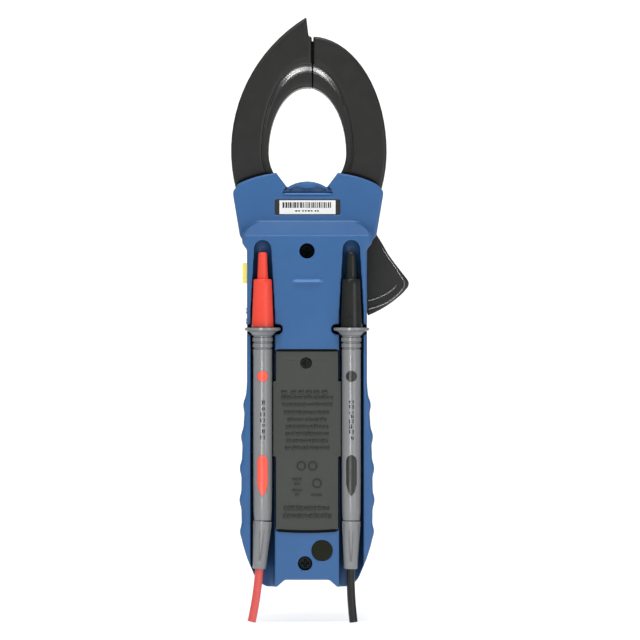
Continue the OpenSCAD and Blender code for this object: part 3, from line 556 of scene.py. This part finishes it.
def window_skin(name, body, section, start, edge_x, finish, fade=0.0):
    """A closed skin that runs round the window on both faces of one jaw.

    Section points are distance out from the window's edge and height above the jaw's middle. It goes
    from the angle start to the joint face at edge_x between the jaws, and grows from nothing over the
    first part of its run when fade is set."""
    def point(grow, t, high, side):
        tall = WINDOW_DOWN + grow if math.sin(t) < 0 else WINDOW_UP + 3.4 * grow
        return (WINDOW.x + (WINDOW_A + grow) * math.cos(t), side * high, WINDOW.z + tall * math.sin(t))

    bm = bmesh.new()
    count = 72
    mid = sum(grow for grow, high in section) / len(section)
    for side in (-1, 1):
        rings = []
        for i in range(count + 1):
            full = min(1.0, 0.06 + i / (count * fade)) if fade else 1.0
            ring = []
            for grow, high in section:
                grow = mid + (grow - mid) * full
                end = math.acos((edge_x - WINDOW.x) / (WINDOW_A + grow))
                t = math.radians(start) + (end - math.radians(start)) * i / count
                ring.append(point(grow, t, high, side))
            rings.append(ring)
        loft(bm, rings)
    return add(name, bm, "jaw_black", body, finish)


def jaw_hollow(jaw, body, low, high, edge_x):
    """The lowered rim round the window and the polished hollow where it sweeps up into the jaw's face."""
    rim, face = JAW_FACE - 0.55, JAW_FACE + 0.02
    steps = 12
    sweep = [(1.75 + k / steps, rim + (face - rim) * (k / steps) ** 2 * (3 - 2 * k / steps))
             for k in range(steps + 1)]
    section = [(0.12, 8.0), (0.12, rim - 0.4), (0.3, rim - 0.12), (0.6, rim), (1.2, rim)] + sweep
    section += [(2.95, JAW_FACE - 0.25), (2.95, 8.0)]
    window_skin(jaw + "_rim", body, section, low, edge_x, "jaw_black")
    skin = [(g, h + 0.02) for g, h in sweep] + [(2.7, rim), (1.8, rim - 0.1)]
    return window_skin(jaw + "_hollow", body, skin, high, edge_x, "jaw_polished", 0.4)


def jaw_tongue():
    """The lip on the fixed jaw's joint face that closes the gap to the moving jaw; its near-black finish
    paints the shadow in that gap.
    """
    bottom, top = WINDOW.z + WINDOW_UP, box_mm("moving_jaw_rear_shell")[1].z - 2.0
    bm = bmesh.new()
    bar(bm, ((FIXED_EDGE + MOVING_EDGE) / 2, 0, (bottom + top) / 2),
        (MOVING_EDGE - FIXED_EDGE - 0.02, 2 * JAW_FACE - 2.4, top - bottom), 0.2)
    add("jaw_tongue", bm, "jaw_black", "case", "gap_shadow_black")


# The dome under the window: the foot of its scooped face, how deep that face lies, the circle of its
# top edge, and the columns its skins are built from
DOME_LOW = HEAD_MID.z + 5.9
DOME_DEEP = -HEAD_Y - 1.05
DOME_Z, DOME_R = HEAD_MID.z - 3.5, 14.1
DOME_COLUMNS = 28


def dome_crest(x):
    return DOME_Z + math.sqrt(DOME_R ** 2 - x * x)


def dome_scoop():
    """The dome's face, with a dip in its middle that turns up to the light."""
    half, dip_half, rows = 9.7, 4.6, 10
    low, deep = DOME_LOW, DOME_DEEP
    bm = bmesh.new()
    rings = []
    for i in range(DOME_COLUMNS + 1):
        x = -half + 2 * half * i / DOME_COLUMNS
        top = dome_crest(x)
        dip = max(0.0, 1 - (x / dip_half) ** 2)
        end = min(1.0, (half - abs(x)) / 1.2)
        ring = [(HEAD_MID.x + x, -deep + 0.7, low)]
        for k in range(rows + 1):
            u = k / rows
            proud = 0.02 + end * (1.25 * u - 2.6 * max(0.0, u - 0.45) * dip - 3.0 * max(0.0, u - 0.93))
            ring.append((HEAD_MID.x + x, -deep - proud, low + (top - low) * u))
        ring.append((HEAD_MID.x + x, -deep + 0.7, top))
        rings.append(ring)
    loft(bm, rings)
    add("dome_scoop", bm, "case_blue", "case")


def dome_shade():
    """The ledge in shade under the dome, cut away in its middle by the dip."""
    half, ledge, dip_z, dip_r = 10.6, HEAD_MID.z + 7.4, HEAD_MID.z + 9.8, 4.5
    back, face = -DOME_DEEP + 0.6, -DOME_DEEP - 0.75
    bm = bmesh.new()
    rings = []
    for i in range(DOME_COLUMNS + 1):
        x = -half + 2 * half * i / DOME_COLUMNS
        top = max(ledge, dome_crest(min(abs(x), 9.0)) - 1.1 - 0.4 * max(0.0, abs(x) - 7.5))
        if abs(x) < dip_r:
            top = min(top, dip_z - 2.1 * math.sqrt(1 - (x / dip_r) ** 2))
        rings.append([(HEAD_MID.x + x, y, z) for y, z in (
            (back, DOME_LOW), (face + 0.5, DOME_LOW), (face, ledge), (face - 0.35, top - 0.1), (back, top))])
    loft(bm, rings)
    add("dome_shade", bm, "case_blue", "case", "case_shaded")


def dome_lip():
    """The rounded lip below the ledge, which catches the light; its lighter blue is a painted highlight."""
    places = (-10.6, -7, -3, 1, 5, 10.9)
    bm = bmesh.new()
    bead(bm, spline([(HEAD_MID.x + x, HEAD_Y - 0.02, DOME_LOW - 0.35) for x in places]), 0.42, flat=0.8)
    add("dome_lip", bm, "case_blue", "case", "case_painted_lit")


def back_bar():
    """The low raised bar on the case's back, with a slope on top that faces the light; its lighter blue is a
    painted highlight.
    """
    screw_z = box_mm("case_screws")[1].z
    steps = 14
    bm = bmesh.new()
    rings = []
    for k in range(steps + 1):
        x = -6.6 + 13.2 * k / steps
        rise = min(1.0, min(k, steps - k) / 1.6 + 0.05)
        rings.append([(x, BACK_Y - out * rise, screw_z - drop) for out, drop in (
            (-0.3, 16.3), (0.1, 16.2), (0.95, 15.9), (1.0, 15.7), (0.15, 14.6), (-0.3, 14.5))])
    loft(bm, rings)
    add("back_bar", bm, "case_blue", "case", "case_painted_lit")


def cover_edge():
    """The battery cover's bowed lower edge, and near-black beads at its two ends that paint the shadow in
    the gaps there.
    """
    lo, hi = box_mm("battery_cover")
    y, mid = lo.y, (lo.x + hi.x) / 2
    half, drop, steps = 13.15, 0.6, 48
    xs = [mid - half + 2 * half * k / steps for k in range(steps + 1)]
    bow = [lo.z - 0.45 - drop * (1 - ((x - mid) / half) ** 2) for x in xs]
    top = lo.z + 0.4
    bm = bmesh.new()
    face, inside = y + 0.02, y + 0.6
    loft(bm, [[(x, face, top), (x, face, z + 0.1), (x, y + 0.14, z), (x, inside, z), (x, inside, top)]
              for x, z in zip(xs, bow)])
    add("cover_edge", bm, "cover_grey", "battery_door")
    bm = bmesh.new()
    bead(bm, [(x, y + 0.2, z - 0.25) for x, z in zip(xs, bow)], 0.62)
    bead(bm, [(x, y + 0.3, hi.z + 0.35) for x in xs], 0.5)
    add("cover_gap_shadow", bm, "foam_black", "battery_door", "gap_shadow_black")


def side_ribs():
    """Two small grip ribs on the case's left edge, below the side button."""
    button = box_mm("side_button")[0]
    inset, middle_y = 2.15, -8.0
    bm = bmesh.new()
    for drop in (15.6, 11.2):
        bar(bm, (button.x + inset, middle_y, button.z - drop), (1.0, 9.0, 1.3), 0.35)
    add("side_ribs", bm, "case_blue", "case")


def head_seams():
    """Near-black beads that paint the shadow in the seams where the jaws come out over the head's top edge,
    which is an arc.
    """
    centre_x, centre_z, across, up = 9.4, HEAD_MID.z - 33.9, 46.2, 48.7
    start, sweep, steps = 64.0, 19.0, 18
    for name, side in (("fixed_jaw_gap_shadow", -1), ("moving_jaw_gap_shadow", 1)):
        path = []
        for k in range(steps + 1):
            t = math.radians(start + sweep * k / steps)
            path.append((side * (centre_x + across * math.cos(t)), -JAW_FACE - 0.9,
                         centre_z + up * math.sin(t)))
        bm = bmesh.new()
        bead(bm, path, 0.8, flat=0.9)
        add(name, bm, "jaw_black", "case", "gap_shadow_black")


def dial_print():
    """Plain position ticks round the range knob, and dark segments behind the display's window."""
    knob_lo, knob_hi = box_mm("range_knob")
    face = box_mm("front_panel")[1].y
    mid = (knob_lo + knob_hi) / 2
    radius, sweep, ticks = 18.9, 230, 19
    bm = bmesh.new()
    for k in range(ticks):
        turn = sweep * k / (ticks - 1) - sweep / 2
        t = math.radians(turn)
        bar(bm, (mid.x + radius * math.sin(t), face, mid.z + radius * math.cos(t)),
            (0.45, 0.06, 1.7 if k % 3 == 0 else 1.0), 0.2, turn)
    add("dial_ticks", bm, "marker_white", "case")
    lo, hi = box_mm("lcd_panel")
    bm = bmesh.new()
    y, middle = hi.y + 0.03, (lo.z + hi.z) / 2
    for k in range(4):
        x = -10.5 + 7 * k
        for dz in (-7, 0, 7):
            bar(bm, (x, y, middle + dz), (3.6, 0.05, 0.9), 0.2)
        for dx in (-2.3, 2.3):
            for dz in (-3.5, 3.5):
                bar(bm, (x + dx, y, middle + dz), (0.9, 0.05, 5.6), 0.2)
    add("display_segments", bm, "label_black", "case")


def boot_ridge(colour, lean):
    """The raised wedge down the back of a lead's strain relief, which leans by some degrees."""
    boot_top = box_mm(colour + "_probe_boot")[1].z
    handle_lo, handle_hi = box_mm(colour + "_probe_handle")
    axis = (handle_lo + handle_hi) / 2
    top_r, taper, boot_long = 3.9, 1.1, 20.5
    bm = bmesh.new()
    for dx in (-0.9, 0.9):
        path = []
        for k in range(9):
            u = k / 8
            z = boot_top - 3.0 - 14.5 * u
            shift = -math.tan(math.radians(lean)) * (boot_top - z)
            off = dx * (1 - 0.75 * u)
            radius = top_r - taper * (boot_top - z) / boot_long
            path.append((axis.x + shift + off, axis.y - math.sqrt(radius ** 2 - off ** 2) + 0.12, z))
        bead(bm, spline(path, 3), 0.34)
    add(colour + "_boot_ridge", bm, "probe_grey", colour + "_probe")


def spline(points, steps=5):
    """Catmull-Rom points through the given ones."""
    p = [Vector(q) for q in points]
    p = [2 * p[0] - p[1]] + p + [2 * p[-1] - p[-2]]
    out = []
    for i in range(1, len(p) - 2):
        for k in range(steps):
            t = k / steps
            a, b, c, d = p[i - 1], p[i], p[i + 1], p[i + 2]
            out.append(0.5 * (2 * b + (c - a) * t + (2 * a - 5 * b + 4 * c - d) * t * t
                              + (3 * b - a - 3 * c + d) * t ** 3))
    out.append(p[-2])
    return out


# ---------------------------------------------------------------- stage

def paper():
    g = Graph("paper", 0.5)
    soft = g.noise(3.0, 2.0)
    g.set("Base Color", g.mix(soft, (0.52, 0.52, 0.52, 1.0), (0.56, 0.56, 0.56, 1.0)))
    g.set("Roughness", 0.8)
    g.set("Specular IOR Level", 0.1)
    g.set("Emission Color", (1.0, 1.0, 1.0, 1.0))
    g.set("Emission Strength", 0.68)
    return g.mat


def stage(floor_z):
    """Pale paper sweep: flat under the meter, then curving up behind it. Sizes in metres."""
    front, back, bend, tall, half = -2.8, 3.0, 0.7, 2.8, 2.8
    profile = [(front, floor_z), (back - bend, floor_z)]
    for k in range(1, 17):
        t = math.radians(90 * k / 16)
        profile.append((back - bend + bend * math.sin(t), floor_z + bend * (1 - math.cos(t))))
    profile.append((back, tall))
    bm = bmesh.new()
    columns = [[bm.verts.new((x, y, z)) for y, z in profile] for x in (-half, half)]
    for i in range(len(profile) - 1):
        bm.faces.new((columns[0][i], columns[1][i], columns[1][i + 1], columns[0][i + 1]))
    mesh = bpy.data.meshes.new("floor")
    bm.to_mesh(mesh)
    bm.free()
    mesh.shade_smooth()
    mesh.materials.append(paper())
    obj = bpy.data.objects.new("floor", mesh)
    bpy.context.scene.collection.objects.link(obj)


# Overall strength of the studio light, the sky's share of it, the picture's height over the meter's,
# and how far below the meter's middle the camera looks, in mm
LEVEL = 0.455
SKY = 0.42
FRAME_MARGIN = 1.0591
LOOK_BELOW = 0.44


def lamp(name, place, target, size, power, size_y=None):
    data = bpy.data.lights.new(name, "AREA")
    data.shape = "RECTANGLE"
    data.size, data.size_y = size, size_y or size
    data.energy = power * LEVEL
    obj = bpy.data.objects.new(name, data)
    bpy.context.scene.collection.objects.link(obj)
    obj.location = place
    obj.rotation_mode = "QUATERNION"
    obj.rotation_quaternion = (Vector(place) - Vector(target)).to_track_quat("Z", "Y")
    obj.visible_camera = False
    return obj


def only_on(light, objects):
    """Keeps a highlight lamp to these objects."""
    group = bpy.data.collections.new(light.name + "_on")
    for o in objects:
        group.objects.link(o)
    light.light_linking.receiver_collection = group


def studio_world():
    """A sky that looks white to the camera and lights the meter softly."""
    world = bpy.data.worlds.new("studio")
    world.use_nodes = True
    sky = world.node_tree.nodes["Background"]
    sky.inputs["Color"].default_value = (1.0, 1.0, 1.0, 1.0)
    seen = world.node_tree.nodes.new("ShaderNodeLightPath").outputs["Is Camera Ray"]
    strength = world.node_tree.nodes.new("ShaderNodeMapRange")
    strength.inputs["To Min"].default_value = SKY * LEVEL
    world.node_tree.links.new(seen, strength.inputs["Value"])
    world.node_tree.links.new(strength.outputs["Result"], sky.inputs["Strength"])
    bpy.context.scene.world = world


def lights(lo, hi):
    """Each lamp has a place, a target, a width and a power. The strip draws the bright line down the
    probes, and the low lamp draws the highlight round the top of the window."""
    centre = (lo + hi) / 2
    jaws = Vector((0.0, 0.0, hi.z - 0.03))
    lamp("key", centre + Vector((-0.45, -0.8, 0.8)), centre, 0.5, 5.0)
    lamp("fill", centre + Vector((0.6, -0.8, -0.02)), Vector((0.0, 0.0, 0.03)), 0.4, 3.2)
    lamp("top", centre + Vector((0.0, -0.35, 1.0)), centre, 0.5, 14.0)
    lamp("back", centre + Vector((0.4, 1.1, 0.5)), centre, 0.5, 4.0)
    strip = lamp("strip", centre + Vector((-0.2, -1.0, 0.0)), centre, 0.04, 13.0, 0.7)
    lit = ("probe_handle", "probe_boot", "probe_core", "cover_screw", "side_button")
    only_on(strip, [o for n, o in NODES.items() if n.endswith(lit)])
    low = lamp("low", Vector((0.0, -0.5, lo.z + 0.02)), jaws, 0.45, 3.4, 0.03)
    only_on(low, polished)
    lamp("sheen", Vector((0.0, -0.3, 0.0)), Vector((0.0, 0.0, 0.02)), 0.15, 0.16)
    lamp("backdrop", centre + Vector((0.0, 1.4, 1.4)), centre + Vector((0, 2.6, 0)), 1.8, 40.0)


def camera(lo, hi):
    """A long lens square-on to the back, far enough off to frame the meter's height."""
    scene = bpy.context.scene
    centre = (lo + hi) / 2
    data = bpy.data.cameras.new("camera")
    data.lens = 300.0
    data.sensor_width = 36.0
    cam = bpy.data.objects.new("camera", data)
    scene.collection.objects.link(cam)
    tall = (hi.z - lo.z) * FRAME_MARGIN
    back = tall / 2 / math.tan(math.atan(data.sensor_width / 2 / data.lens))
    jaw_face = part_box("fixed_jaw_rear_shell")[0][1]
    cam.location = (centre.x, jaw_face - back, centre.z - LOOK_BELOW * MM)
    cam.rotation_euler = (math.radians(90), 0, 0)
    data.clip_start, data.clip_end = 0.05, 20.0
    scene.camera = cam
    scene.view_settings.view_transform = "Standard"
    scene.view_settings.look = "None"


finish_nodes()
label_print()
cover_relief()
probe_marks("red")
probe_marks("black")
polished = [
    trigger_beads(),
    jaw_hollow("fixed_jaw", "case", 215, 146, FIXED_EDGE),
    jaw_hollow("moving_jaw", "moving_jaw", -35, 34, MOVING_EDGE),
]
jaw_tongue()
dome_scoop()
dome_shade()
dome_lip()
back_bar()
cover_edge()
side_ribs()
boot_ridge("red", 4.0)
boot_ridge("black", 0.8)
head_seams()
dial_print()
stage(CAD_BOX[0].z)
studio_world()
lights(*CAD_BOX)
camera(*CAD_BOX)
